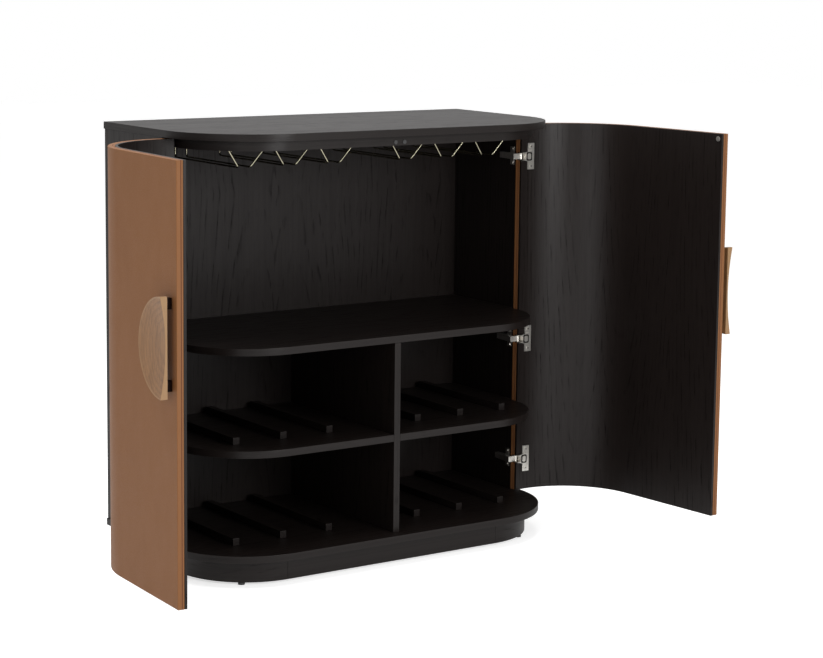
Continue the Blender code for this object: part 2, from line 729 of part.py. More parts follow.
def add_door(name, side, looks, open_degrees):
    """One door with its leather, pull, hinge cups and strike, turned open on its axis."""
    pivot = add_axis(f"door_axis_{name}", (side * PIVOT_X, PIVOT_Y, 0))
    frame = DoorFrame(FLANGE_FROM_END, side)
    notches = [hinge_notch(frame, level) for level in HINGE_LEVELS.values()]
    pockets = [cup_pocket(frame, level) for level in HINGE_LEVELS.values()]
    skin = LEATHER + GAP
    lip_depth = LEATHER_WRAP + GAP
    core_depth = (lip_depth + DOOR_THICKNESS) / 2
    core = prism(door_plan(skin, core_depth, skin, side), DOOR_LOW + skin, DOOR_HIGH - skin)
    lip = prism(door_plan(lip_depth, DOOR_THICKNESS, 0, side), DOOR_LOW, DOOR_HIGH)
    panel = combine("panel", core, [lip], "UNION")
    panel = combine("panel", panel, notches + pockets, "DIFFERENCE")
    add_piece(f"door_panel_{name}", panel, looks["stained_oak"], parent=pivot, smooth=True)
    cover = prism(door_plan(0, LEATHER_WRAP, 0, side), DOOR_LOW, DOOR_HIGH)
    hollow = prism(door_plan(LEATHER, DOOR_THICKNESS + LEATHER, LEATHER, side),
                   DOOR_LOW + LEATHER, DOOR_HIGH - LEATHER)
    cuts = [hollow] + [hinge_notch(frame, level) for level in HINGE_LEVELS.values()]
    cover = combine("cover", cover, cuts, "DIFFERENCE")
    add_piece(f"door_leather_{name}", cover, looks["leather"], parent=pivot, smooth=True)
    for end, level in HINGE_LEVELS.items():
        shape = hinge_cup("cup", frame, level)
        add_piece(f"hinge_cup_{end}_{name}", shape, looks["nickel"], parent=pivot, smooth=True)
        shape = hinge_arm("arm", side, level)
        add_piece(f"hinge_arm_{end}_{name}", shape, looks["nickel"], smooth=True)
    add_handle(name, side, looks, pivot)
    strike = prism(circle(0, 0, STRIKE_RADIUS, ROUND_SIDES), GAP, GAP + STRIKE_THICKNESS)
    inner_face = FRONT_Y + TOP_OVERHANG + DOOR_THICKNESS
    place = (side * (MAGNET_FROM_CENTRE - PIVOT_X), inner_face - PIVOT_Y, MAGNET_LEVEL)
    shape = along_y(strike)
    add_piece(f"catch_strike_{name}", shape, looks["nickel"], place, pivot, smooth=True)
    pivot.rotation_euler.z = side * math.radians(open_degrees)


def centre_on_floor():
    """Move everything so that the origin is under the middle of the bounding box."""
    bpy.context.view_layer.update()
    corners = []
    for piece in bpy.data.objects:
        if piece.type == "MESH":
            corners += [piece.matrix_world @ vertex.co for vertex in piece.data.vertices]
    low = Vector([min(corner[axis] for corner in corners) for axis in range(3)])
    high = Vector([max(corner[axis] for corner in corners) for axis in range(3)])
    shift = Vector((-(low.x + high.x) / 2, -(low.y + high.y) / 2, -low.z))
    for piece in bpy.data.objects:
        if piece.parent is None:
            piece.location += shift
    print("moved by", [round(value, 6) for value in shift])


def main():
    for old in list(bpy.data.objects):
        bpy.data.objects.remove(old)
    looks = {
        "stained_oak": make_material("stained_oak", (0.045, 0.040, 0.037), 0.5),
        "leather": make_material("leather", (0.23, 0.115, 0.062), 0.45),
        "light_oak": make_material("light_oak", (0.31, 0.20, 0.115), 0.45),
        "brass": make_material("brass", (0.72, 0.60, 0.32), 0.2, 1.0),
        "nickel": make_material("nickel", (0.60, 0.58, 0.55), 0.28, 1.0),
        "spacer": make_material("spacer", (0.03, 0.022, 0.018), 0.5),
        "foot": make_material("foot", (0.01, 0.01, 0.01), 0.6),
    }
    add_case(looks)
    add_sub_top(looks)
    add_plinth(looks)
    add_bottle_rails(looks)
    add_racks(looks)
    add_door("right", 1, looks, RIGHT_OPEN_DEGREES)
    add_door("left", -1, looks, LEFT_OPEN_DEGREES)
    centre_on_floor()


main()
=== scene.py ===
"""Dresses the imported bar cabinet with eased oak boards, leather, carved pulls and fittings.

Run as a script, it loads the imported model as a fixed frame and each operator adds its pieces.
"""
import json
import math

import bmesh
import bpy
from bpy.props import FloatProperty, FloatVectorProperty, IntProperty, PointerProperty
from bpy.types import Operator, Panel, PropertyGroup
from mathutils import Matrix, Vector


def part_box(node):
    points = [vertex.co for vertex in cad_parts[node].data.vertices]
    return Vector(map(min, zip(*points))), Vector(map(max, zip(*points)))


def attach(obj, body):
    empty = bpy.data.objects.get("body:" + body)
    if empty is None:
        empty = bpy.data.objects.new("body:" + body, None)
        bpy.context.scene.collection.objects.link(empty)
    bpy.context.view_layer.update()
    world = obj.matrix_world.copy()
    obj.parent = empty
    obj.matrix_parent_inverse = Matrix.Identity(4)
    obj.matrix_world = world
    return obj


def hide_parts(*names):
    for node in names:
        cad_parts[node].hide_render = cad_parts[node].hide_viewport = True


bl_info = {
    "name": "Bar Cabinet Finisher",
    "version": (1, 0, 0),
    "blender": (4, 5, 0),
    "location": "View3D > Sidebar > Cabinet",
    "description": "Adds the finished boards, doors and fittings of a curved bar cabinet",
    "category": "Object",
}

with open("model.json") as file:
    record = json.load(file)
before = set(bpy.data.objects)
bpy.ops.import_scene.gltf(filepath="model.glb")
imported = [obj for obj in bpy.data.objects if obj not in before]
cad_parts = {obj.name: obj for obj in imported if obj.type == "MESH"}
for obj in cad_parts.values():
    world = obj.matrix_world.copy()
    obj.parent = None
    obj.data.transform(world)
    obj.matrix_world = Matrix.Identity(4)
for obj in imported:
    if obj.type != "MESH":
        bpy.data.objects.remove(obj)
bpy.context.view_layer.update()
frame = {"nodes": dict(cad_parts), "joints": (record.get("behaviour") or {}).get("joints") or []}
NODES = frame["nodes"]

# Width of the picture that the camera is matched to in pixels, and of its sensor in mm
PICTURE_WIDTH = 823
SENSOR_WIDTH = 36.0

# Attribute that holds a corner's place in the timber: across, through and along the grain
GRAIN = "grain"

# Where the heart of a veneer leaf lies, as a share of the leaf's width
HEART_PLACE = 0.75

# How much further on in the timber each next board or rail is cut, in metres
BOARD_SHIFT = 0.377
RAIL_SHIFT = 0.213
# Shift along the grain against the shift across it
ALONG_SHIFT = 3
# A face is level where its normal rises or falls more than this
LEVEL_NORMAL = 0.7

# Corners of a copied node that lie closer than this are merged, in metres
MERGE_DISTANCE = 0.00002
# Faces that turn by less than this are one flat face
FLAT_ANGLE = math.radians(1.0)
# Edges that turn by more than this are eased
SHARP_ANGLE = math.radians(30.0)
# Edges that turn by more than this are shaded sharp
SHADING_ANGLE = math.radians(40.0)

# Eased edges of rails against boards, and of feet against stampings
RAIL_EASE = 1.4
FOOT_EASE = 2

# Rings in the hollow of a pull, steps in a wire's bend, and roundness of the wire
HOLLOW_RINGS = 14
BEND_STEPS = 8
WIRE_ROUNDNESS = 4

# How far a screw head may differ from its polygon, in sides and as a share of its area
SCREW_SIDES_SLACK = 2
SCREW_AREA_SLACK = 0.03
# Length of a cross recess's slot, as a share of the screw head's radius
SLOT_LENGTH = 1.3

# Each light's place about the case's middle on the floor, and the length of its side
LIGHTS = {
    "key": ((0.4, -3.7, 1.5), 1.1),
    "overhead": ((-0.4, 0.2, 3.6), 2.4),
    "fill": ((-3.6, -2.3, 1.4), 2.6),
}
LIGHT_TARGET = (0, 0, 0.5)

# The side of the case's middle that a door or rack is on, as a sign of X
SIDES = {"left": -1, "right": 1}
LEVELS = ("top", "middle", "bottom")


class BoardSettings(PropertyGroup):
    """Sizes and colours of the stained oak boards."""
    corner_radius: FloatProperty(
        name="Corner radius", description="Radius of the case's front corners in plan",
        default=0.210, unit="LENGTH")
    ease: FloatProperty(
        name="Eased edge", description="Width of the small round on each board's edges",
        default=0.0007, unit="LENGTH")
    leaf_width: FloatProperty(
        name="Veneer leaf", description="Width of one leaf of veneer before the next mirrors it",
        default=0.235, unit="LENGTH")
    ring_spacing: FloatProperty(
        name="Ring spacing", description="Distance between growth lines at the heart of a leaf",
        default=0.0115, unit="LENGTH")
    ground: FloatVectorProperty(
        name="Ground", description="Colour of the stained wood between its pores",
        default=(0.0078, 0.0055, 0.0048), subtype="COLOR")
    pore: FloatVectorProperty(
        name="Pore", description="Colour in the pores and dark growth lines",
        default=(0.0020, 0.0016, 0.0015), subtype="COLOR")
    lacquer: FloatProperty(
        name="Lacquer", description="Strength of the satin lacquer on the veneer",
        default=0.645, min=0, max=1, subtype="FACTOR")


class LeatherSettings(PropertyGroup):
    """Sizes and colours of the leather on the doors."""
    round_over: FloatProperty(
        name="Rounded edge", description="Radius where the leather folds over the panel",
        default=0.0016, unit="LENGTH")
    seam_depth: FloatProperty(
        name="Seam place", description="Distance of the edge seam from the outer face",
        default=0.0100, unit="LENGTH")
    seam_width: FloatProperty(
        name="Seam width", description="Width of the pressed seam line",
        default=0.0018, unit="LENGTH")
    end_ease: FloatProperty(
        name="End ease", description="Round where the leather ends against the panel's lip",
        default=0.0006, unit="LENGTH")
    tan: FloatVectorProperty(
        name="Tan", description="Main colour of the leather",
        default=(0.188, 0.079, 0.028), subtype="COLOR")
    shade: FloatVectorProperty(
        name="Shade", description="Darker patches of the leather",
        default=(0.166, 0.068, 0.023), subtype="COLOR")
    # Painted shade: the seam's dark colour stands for the shade in its pressed groove
    seam: FloatVectorProperty(
        name="Seam colour", description="Colour in the pressed seam",
        default=(0.075, 0.020, 0.010), subtype="COLOR")


class PullSettings(PropertyGroup):
    """Sizes and colours of the half round pulls."""
    radius: FloatProperty(
        name="Radius", description="Radius of the half disc", default=0.104, unit="LENGTH")
    setback: FloatProperty(
        name="Setback", description="Straight edge's distance from the middle of the doors",
        default=0.0075, unit="LENGTH")
    standoff: FloatProperty(
        name="Stand-off", description="Gap between the pull and the leather",
        default=0.0175, unit="LENGTH")
    rim: FloatProperty(
        name="Rim", description="Thickness at the rim", default=0.016, unit="LENGTH")
    middle: FloatProperty(
        name="Middle", description="Thickness at the hollow's lowest point",
        default=0.0045, unit="LENGTH")
    round_over: FloatProperty(
        name="Rounded edge", description="Radius of the pull's edges",
        default=0.0016, unit="LENGTH")
    steps: IntProperty(
        name="Steps", description="Steps round the half disc", default=72, min=12)
    light: FloatVectorProperty(
        name="Light", description="Colour of the early wood",
        default=(0.236, 0.118, 0.048), subtype="COLOR")
    dark: FloatVectorProperty(
        name="Dark", description="Colour of the late wood lines",
        default=(0.098, 0.044, 0.017), subtype="COLOR")
    # Painted highlight on the rounded crest, and a painted lighter tone on the straight side that
    # faces the front light
    pale: FloatVectorProperty(
        name="Pale", description="Colour of the sawn straight side and the rounded crest",
        default=(0.258, 0.157, 0.077), subtype="COLOR")
    block: FloatVectorProperty(
        name="Block", description="Colour of the stained blocks that hold the pulls",
        default=(0.010, 0.0035, 0.0025), subtype="COLOR")


class RackSettings(PropertyGroup):
    """Sizes and colours of the stemware racks."""
    channels: IntProperty(
        name="Channels", description="Channels in each rack", default=3, min=1)
    first: FloatProperty(
        name="First channel", description="Middle of the first channel from the case's middle",
        default=0.0985, unit="LENGTH")
    pitch: FloatProperty(
        name="Pitch", description="Distance between channels", default=0.118, unit="LENGTH")
    gap: FloatProperty(
        name="Gap", description="Distance between a channel's two wires",
        default=0.030, unit="LENGTH")
    wire: FloatProperty(
        name="Wire radius", description="Radius of the wire", default=0.0020, unit="LENGTH")
    spread: FloatProperty(
        name="Spread", description="How far each front leg leans outward",
        default=0.0323, unit="LENGTH")
    lean: FloatProperty(
        name="Lean", description="How far each front leg leans forward",
        default=0.009, unit="LENGTH")
    bend: FloatProperty(
        name="Bend radius", description="Radius of the wire's bends",
        default=0.008, unit="LENGTH")
    strap_width: FloatProperty(
        name="Strap width", description="Width of the straps under the sub top",
        default=0.016, unit="LENGTH")
    strap_thickness: FloatProperty(
        name="Strap thickness", description="Thickness of the straps",
        default=0.003, unit="LENGTH")
    colour: FloatVectorProperty(
        name="Brass", description="Colour of the brass", default=(0.31, 0.290, 0.210),
        subtype="COLOR")


class FittingSettings(PropertyGroup):
    """Sizes and colours of the hinges, catches and feet."""
    ease: FloatProperty(
        name="Eased edge", description="Width of the round on stamped edges",
        default=0.0004, unit="LENGTH")
    nickel: FloatVectorProperty(
        name="Nickel", description="Colour of the plated steel", default=(0.56, 0.538, 0.50),
        subtype="COLOR")
    screw_radius: FloatProperty(
        name="Screw head", description="Radius of the screw heads", default=0.004, unit="LENGTH")
    screw_sides: IntProperty(
        name="Screw sides", description="Sides of the screw heads", default=16, min=8)
    slot_width: FloatProperty(
        name="Slot width", description="Width of the cross recess", default=0.0010, unit="LENGTH")
    slot_depth: FloatProperty(
        name="Slot depth", description="Depth of the cross recess's walls", default=0.0002,
        unit="LENGTH")
    mouth_place: FloatProperty(
        name="Mouth place", description="From the screws to the middle of the cup's mouth",
        default=0.0075, unit="LENGTH")
    mouth_rise: FloatProperty(
        name="Mouth rise", description="Height of the cover over the screw heads",
        default=0.00155, unit="LENGTH")
    mouth_size: FloatVectorProperty(
        name="Mouth", description="Length and height of the cup's mouth",
        default=(0.0172, 0.0212), size=2, unit="LENGTH")
    mouth_corner: FloatProperty(
        name="Mouth corner", description="Radius of the mouth's corners",
        default=0.004, unit="LENGTH")
    mouth_border: FloatProperty(
        name="Mouth border", description="Gap round the lid", default=0.0036, unit="LENGTH")
    lid_height: FloatProperty(
        name="Lid height", description="Thickness of the lid, half of it showing",
        default=0.0020, unit="LENGTH")
    lid_corner: FloatProperty(
        name="Lid corner", description="Radius of the lid's corners", default=0.003, unit="LENGTH")
    # Painted shade at the bottom of recesses and in the hinge cups' mouths, its darkest tone
    oil: FloatVectorProperty(
        name="Oil", description="Colour at the bottom of recesses and in the mouths",
        default=(0.006, 0.005, 0.004), subtype="COLOR")
    # Lighter patches within the painted shade of the recesses and mouths
    grime: FloatVectorProperty(
        name="Grime", description="Colour of the dust in the recesses",
        default=(0.020, 0.017, 0.015), subtype="COLOR")
    rubber: FloatVectorProperty(
        name="Glide", description="Colour of the feet", default=(0.012, 0.012, 0.012),
        subtype="COLOR")


class StageSettings(PropertyGroup):
    """Camera, light and floor."""
    camera_place: FloatVectorProperty(
        name="Camera place", description="Camera position about the case's middle on the floor",
        default=(-2.8392, -4.3729, 1.3885), subtype="TRANSLATION", unit="LENGTH")
    yaw: FloatProperty(
        name="Yaw", description="Camera heading from +Y towards +X", default=0.6059,
        subtype="ANGLE")
    pitch: FloatProperty(
        name="Pitch", description="Camera tilt below the horizon", default=0.1384,
        subtype="ANGLE")
    roll: FloatProperty(
        name="Roll", description="Camera roll", default=0.0108, subtype="ANGLE")
    focal: FloatProperty(
        name="Focal length", description="Focal length on a 36 mm sensor", default=97.818,
        unit="CAMERA")
    rise: FloatProperty(
        name="Principal point", description="Pixels from the picture's middle up to the axis",
        default=60.0)
    floor_span: FloatProperty(
        name="Floor", description="Width of the floor", default=30.0, unit="LENGTH")
    ambient: FloatProperty(
        name="Ambient", description="Strength of the even light", default=0.45)
    floor_glow: FloatProperty(
        name="Floor glow", description="How much the floor is lifted towards white", default=0.6)
    key: FloatProperty(
        name="Key light", description="Power of the front light in watts", default=80.0)
    overhead: FloatProperty(
        name="Overhead light", description="Power of the light above in watts", default=104.0)
    fill: FloatProperty(
        name="Fill light", description="Power of the light from the left in watts", default=48.0)


class CabinetSettings(PropertyGroup):
    """All settings of the cabinet."""
    boards: PointerProperty(type=BoardSettings)
    leather: PointerProperty(type=LeatherSettings)
    pulls: PointerProperty(type=PullSettings)
    racks: PointerProperty(type=RackSettings)
    fittings: PointerProperty(type=FittingSettings)
    stage: PointerProperty(type=StageSettings)


class Field:
    """A value that changes over a surface, as a node socket that takes arithmetic."""

    def __init__(self, finish, socket):
        self.finish = finish
        self.socket = socket

    def math(self, operation, *values, clamp=False):
        settings = {"operation": operation, "use_clamp": clamp}
        return self.finish.node("ShaderNodeMath", settings, dict(enumerate(values)))

    def __add__(self, other):
        return self.math("ADD", self, other)

    __radd__ = __add__

    def __sub__(self, other):
        return self.math("SUBTRACT", self, other)

    def __rsub__(self, other):
        return self.math("SUBTRACT", other, self)

    def __mul__(self, other):
        return self.math("MULTIPLY", self, other)

    __rmul__ = __mul__

    def __truediv__(self, other):
        return self.math("DIVIDE", self, other)

    def size(self):
        """The value without its sign."""
        return self.math("ABSOLUTE", self)

    def root(self):
        return self.math("SQRT", self)

    def part(self):
        """What is left over the last whole number."""
        return self.math("FRACT", self)

    def fold(self, span):
        """Runs up to span and back down again, as mirrored leaves do."""
        return self.math("PINGPONG", self, span)

    def kept(self):
        """The value kept between 0 and 1."""
        return self.math("ADD", self, 0.0, clamp=True)

    def step(self, low, high):
        """Rises smoothly from 0 at low to 1 at high, or falls where high is below low."""
        settings = {"interpolation_type": "SMOOTHSTEP"}
        values = {"Value": self, "From Min": low, "From Max": high}
        if low > high:
            values = {"Value": self, "From Min": high, "From Max": low,
                      "To Min": 1.0, "To Max": 0.0}
        return self.finish.node("ShaderNodeMapRange", settings, values)


class Finish:
    """A material or world being made, with one method that adds any node."""

    def __init__(self, owner, shader="Principled BSDF"):
        self.owner = owner
        owner.use_nodes = True
        self.tree = owner.node_tree
        self.shader = self.tree.nodes[shader]

    def node(self, kind, settings=None, values=None, output=0):
        made = self.tree.nodes.new(kind)
        for name, value in (settings or {}).items():
            setattr(made, name, value)
        for name, value in (values or {}).items():
            self.feed(made.inputs[name], value)
        return Field(self, made.outputs[output])

    def feed(self, socket, value):
        if isinstance(value, Field):
            self.tree.links.new(value.socket, socket)
        elif socket.type == "RGBA":
            socket.default_value = (*value, 1.0)
        else:
            socket.default_value = value

    def set(self, **values):
        """Feed the shader's sockets; Base_Color stands for Base Color."""
        for name, value in values.items():
            self.feed(self.shader.inputs[name.replace("_", " ")], value)
        return self.owner

    def place(self):
        """The point in the frame's own metres."""
        return self.node("ShaderNodeTexCoord", output="Object")

    def grain(self):
        """The corner's place in its timber, whole and as across, through and along."""
        vector = self.node("ShaderNodeAttribute", {"attribute_name": GRAIN}, output="Vector")
        return vector, [self.node("ShaderNodeSeparateXYZ", values={0: vector}, output=name)
                        for name in "XYZ"]

    def noise(self, vector, scale, detail, roughness=0.5):
        """Soft noise from 0 to 1, its scale in repeats a metre along each axis."""
        scaled = self.node("ShaderNodeVectorMath", {"operation": "MULTIPLY"},
                           {0: vector, 1: scale})
        values = {"Vector": scaled, "Scale": 1.0, "Detail": detail, "Roughness": roughness}
        return self.node("ShaderNodeTexNoise", values=values)

    def cells(self, vector, scale):
        """Distance to the nearest cell's middle, for pebbled surfaces."""
        values = {"Vector": vector, "Scale": scale}
        return self.node("ShaderNodeTexVoronoi", {"feature": "F1"}, values, "Distance")

    def blend(self, factor, first, second):
        """From the first colour to the second, by the Mix node's numbered colour sockets."""
        settings = {"data_type": "RGBA", "clamp_factor": True}
        return self.node("ShaderNodeMix", settings, {0: factor, 6: first, 7: second}, 2)

    def relief(self, height, distance, strength):
        """Bumps that stand this distance in metres proud for each 1 of height."""
        values = {"Height": height, "Distance": distance, "Strength": strength}
        return self.node("ShaderNodeBump", values=values)

    def backdrop_ray(self):
        """1 for rays that see the backdrop: straight, mirrored or through glass."""
        camera, glossy, through = (
            self.node("ShaderNodeLightPath", output=f"Is {kind} Ray")
            for kind in ("Camera", "Glossy", "Transmission"))
        return (camera + glossy + through).kept()


def new_finish(name):
    return Finish(bpy.data.materials.new(name))


def shared(make):
    """The material that a function makes under its own name, made once."""
    return bpy.data.materials.get(make.__name__) or make()


def tinted(colour, factor):
    """A colour made darker or lighter by a factor."""
    return tuple(channel * factor for channel in colour)


def timber(name, ground, ring_spacing, lacquer):
    """Stained oak veneer: arched growth lines, fibres and open pores under a satin lacquer."""
    look = bpy.context.scene.cabinet.boards
    finish = new_finish(name)
    vector, (across, _, along) = finish.grain()
    # Growth lines are rings round a heart that lies deeper or nearer along the leaf
    wander = finish.noise(vector, (4, 4, 1.2), 2) - 0.5
    ripple = finish.noise(vector, (50, 50, 9), 1) - 0.5
    side = (across + wander * 0.05).fold(look.leaf_width) - look.leaf_width * HEART_PLACE
    heart = 0.11 - along.fold(1.2) * 0.09 + wander * 0.08 + ripple * 0.006
    ring = ((side * side + heart * heart).root() / ring_spacing).part()
    patch = finish.noise(vector, (150, 150, 14), 2).step(0.46, 0.62)
    flank = side.size().step(0.0, 0.06) * 0.8 + 0.2
    line = ring.step(0.66, 0.93) * ring.step(1.0, 0.95) * patch * flank
    # Fibres, streaks and pores are drawn out along the grain
    fibre = finish.noise(vector, (420, 420, 7), 2) - 0.5
    streak = finish.noise(vector, (90, 90, 1.5), 2) - 0.5
    hole = finish.noise(vector, (1200, 1200, 50), 1).step(0.54, 0.68)
    pores = (line * 0.46 + hole * (line * 0.5 + 0.12)).kept()
    dark = (pores + streak * 0.4 + fibre * 0.4 + 0.06).kept()
    rough = 0.58 + fibre * 0.3
    height = fibre * 0.4 - pores
    return finish.set(Base_Color=finish.blend(dark, ground, look.pore), Roughness=rough,
                      Specular_IOR_Level=0.0, Coat_Roughness=0.38, Coat_IOR=1.36,
                      Coat_Weight=(lacquer - dark * 0.55).kept(),
                      Normal=finish.relief(height, 0.00022, 0.5))


def oak_veneer():
    """The stained veneer of the boards, the rails and the doors."""
    look = bpy.context.scene.cabinet.boards
    return timber("oak_veneer", look.ground, look.ring_spacing, look.lacquer)


def block_oak():
    """The redder and duller stained oak of the blocks, with closer rings."""
    look = bpy.context.scene.cabinet.pulls
    return timber("block_oak", look.block, ring_spacing=0.004, lacquer=0.25)


def tan_leather():
    """Full grain leather: pebbled, softly mottled, with a pressed seam along its edges darkened by
    painted shade.
    """
    look = bpy.context.scene.cabinet.leather
    finish = new_finish("tan_leather")
    place = finish.place()
    through = finish.grain()[1][1]
    mottle = finish.noise(place, (5, 5, 2.2), 3, 0.55)
    patch = finish.noise(place, (26, 26, 15), 3)
    speck = finish.noise(place, (420, 420, 420), 2)
    warp = finish.noise(place, (160, 160, 160), 1)
    sway = finish.node("ShaderNodeCombineXYZ", values={
        0: warp * 0.0012, 1: warp * 0.0009, 2: warp * -0.0012})
    bent = finish.node("ShaderNodeVectorMath", {"operation": "ADD"}, {0: place, 1: sway})
    pebble = finish.cells(bent, 620.0)
    crease = pebble.step(0.30, 0.62)
    # The seam's groove is a faint bump, and its dark colour is painted shade
    seam = 1 - ((through - look.seam_depth).size() / look.seam_width).step(0.25, 0.6)
    shade = ((mottle - 0.5) * 1.5 + (patch - 0.5) * 0.7 + (speck - 0.5) * 0.35
             + crease * 0.12 + 0.4)
    colour = finish.blend(shade.kept(), look.tan, look.shade)
    colour = finish.blend(seam, colour, look.seam)
    rough = 0.50 + patch * 0.10 + crease * 0.10 + seam * 0.2
    height = speck * 0.15 - crease * 0.8 - seam * 3.0
    return finish.set(Base_Color=colour, Roughness=rough, Specular_IOR_Level=0.2,
                      Normal=finish.relief(height, 0.00018, 0.5))


def carved_oak():
    """Solid oak whose layers show as nested outlines where the hollow is carved, with painted
    highlights on the rim's crest and on the straight side.
    """
    look = bpy.context.scene.cabinet.pulls
    finish = new_finish("carved_oak")
    vector, (across, through, along) = finish.grain()
    wander = finish.noise(vector, (14, 14, 6), 3) - 0.5
    streak = finish.noise(vector, (280, 280, 12), 2) - 0.5
    layer = (through + across * 0.05 + wander * 0.006 + streak * 0.0016) / 0.0021
    line = layer.part().step(0.25, 1.0) * (1 - layer.part().step(0.95, 1.0))
    fibre = finish.noise(vector, (700, 700, 28), 2) - 0.5
    pores = finish.noise(vector, (1500, 1500, 110), 1).step(0.58, 0.70)
    ray = finish.noise(vector, (60, 60, 18), 2) - 0.5
    # Painted highlight: the crest catches the light and the straight side faces the front light, so
    # both are painted paler
    crest = ((across * across + along * along).root() / look.radius).step(0.955, 0.985)
    lit = across.step(0.0006, 0.0001)
    pale = (crest + lit).kept()
    dark = (line * 0.32 + pores * 0.5 + fibre * 0.6 + ray * 0.5 + streak * 1.2
            - pale * 0.3 + 0.1).kept()
    colour = finish.blend(dark, look.light, look.dark)
    colour = finish.blend(pale * 0.7, colour, look.pale)
    height = fibre * 0.3 - pores * 0.8 - line * 0.4
    return finish.set(Base_Color=colour, Roughness=0.44 + fibre * 0.12, Specular_IOR_Level=0.3,
                      Normal=finish.relief(height, 0.0002, 0.5))


def drawn_brass():
    """Pale brass wire with fine draw marks and a faint tarnish."""
    look = bpy.context.scene.cabinet.racks
    finish = new_finish("drawn_brass")
    place = finish.place()
    marks = finish.noise(place, (900, 25, 900), 2)
    tarnish = finish.noise(place, (45, 45, 45), 3)
    worn = tinted(look.colour, 0.72)
    colour = finish.blend(tarnish.step(0.45, 0.8), look.colour, worn)
    rough = 0.16 + marks * 0.10 + tarnish * 0.06
    return finish.set(Base_Color=colour, Roughness=rough, Metallic=1.0,
                      Normal=finish.relief(marks, 0.00004, 0.3))


def plated_nickel():
    """Nickel plated stampings: a soft satin with fine scratches and duller clouds."""
    look = bpy.context.scene.cabinet.fittings
    finish = new_finish("plated_nickel")
    place = finish.place()
    scratch = finish.noise(place, (260, 260, 2600), 2)
    cloud = finish.noise(place, (90, 90, 90), 3)
    dull = tinted(look.nickel, 0.85)
    colour = finish.blend(cloud.step(0.4, 0.75), look.nickel, dull)
    rough = 0.26 + scratch * 0.08 + cloud * 0.04
    return finish.set(Base_Color=colour, Roughness=rough, Metallic=1.0,
                      Normal=finish.relief(scratch, 0.00002, 0.2))


def dark_recess():
    """Painted shade: near-black patches that stand for the shade at the bottom of a screw's recess
    and in a hinge cup's mouth.
    """
    look = bpy.context.scene.cabinet.fittings
    finish = new_finish("dark_recess")
    place = finish.place()
    # Lighter and darker patches within the painted shade, which also vary its roughness and bumps
    grime = finish.noise(place, (900, 900, 900), 2)
    colour = finish.blend(grime.step(0.35, 0.7), look.oil, look.grime)
    return finish.set(Base_Color=colour, Roughness=0.5 + grime * 0.2, Specular_IOR_Level=0.15,
                      Normal=finish.relief(grime, 0.00003, 0.4))


def glide_plastic():
    """Black moulded plastic with a fine sparked texture."""
    look = bpy.context.scene.cabinet.fittings
    finish = new_finish("glide_plastic")
    place = finish.place()
    spark = finish.noise(place, (1900, 1900, 1900), 2)
    scuff = finish.noise(place, (180, 180, 60), 3)
    grey = tinted(look.rubber, 2.4)
    colour = finish.blend(scuff.step(0.55, 0.85) * 0.6, look.rubber, grey)
    return finish.set(Base_Color=colour, Roughness=0.52 + scuff * 0.18,
                      Normal=finish.relief(spark, 0.00006, 0.5))


def add_object(name, data):
    """A new object of this data, linked to the scene."""
    made = bpy.data.objects.new(name, data)
    bpy.context.scene.collection.objects.link(made)
    return made


def joint_of(body):
    """The joint that moves a body."""
    return next(joint for joint in frame["joints"] if joint["child"] == body)


class Case:
    """The case's plan, read from the frame: its middle, its half sizes and its corners."""

    def __init__(self):
        low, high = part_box("top_panel")
        self.middle = Vector(((low.x + high.x) / 2, (low.y + high.y) / 2, 0))
        self.half_width = (high.x - low.x) / 2
        self.front = (low.y - high.y) / 2
        self.radius = bpy.context.scene.cabinet.boards.corner_radius
        self.corner_x = self.half_width - self.radius
        self.corner_y = self.front + self.radius
        self.outer_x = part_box("side_panel_right")[1].x - self.middle.x
        self.overhang = self.half_width - self.outer_x

    def run(self, point):
        """Distance round the case from a side's straight part to the middle of the front."""
        x = abs(point.x - self.middle.x)
        y = point.y - self.middle.y
        if y > self.corner_y:
            return self.corner_y - y
        if x > self.corner_x:
            angle = math.atan2(self.corner_y - y, x - self.corner_x)
            return self.radius * angle
        return self.radius * math.pi / 2 + self.corner_x - x


class Door:
    """One door: its body, its turn from closed to where it stands, and its plan."""

    def __init__(self, name):
        self.name = name
        self.body = f"door_{name}"
        self.case = Case()
        joint = joint_of(self.body)
        side = SIDES[name]
        pivot = Vector((joint["pos_m"][0], joint["pos_m"][1], 0))
        turn = Matrix.Rotation(side * math.radians(-joint["range_deg"][0]), 4, "Z")
        swing = Matrix.Translation(pivot) @ turn @ Matrix.Translation(-pivot)
        mirror = Matrix.Diagonal((side, 1, 1, 1))
        self.to_world = swing @ Matrix.Translation(self.case.middle) @ mirror
        self.to_closed = self.to_world.inverted()

    def plan(self, point):
        """A point's distance along the door from its hinge end, its depth and its height."""
        x, y, z = self.to_closed @ point
        case = self.case
        radius = case.radius - case.overhang
        if y > case.corner_y:
            return Vector((case.corner_y - y, case.outer_x - x, z))
        if x > case.corner_x:
            spoke = math.hypot(x - case.corner_x, y - case.corner_y)
            angle = math.atan2(case.corner_y - y, x - case.corner_x)
            return Vector((radius * angle, radius - spoke, z))
        run = radius * math.pi / 2 + case.corner_x - x
        return Vector((run, y - case.front - case.overhang, z))

    def grain(self, point, normal):
        """The door's plan on every face, so that its grain stands upright."""
        return self.plan(point)


def cut_further(across, through, along, shift):
    """A place in the timber, moved on so that no two boards are alike."""
    return Vector((across + shift, through, along + shift * ALONG_SHIFT))


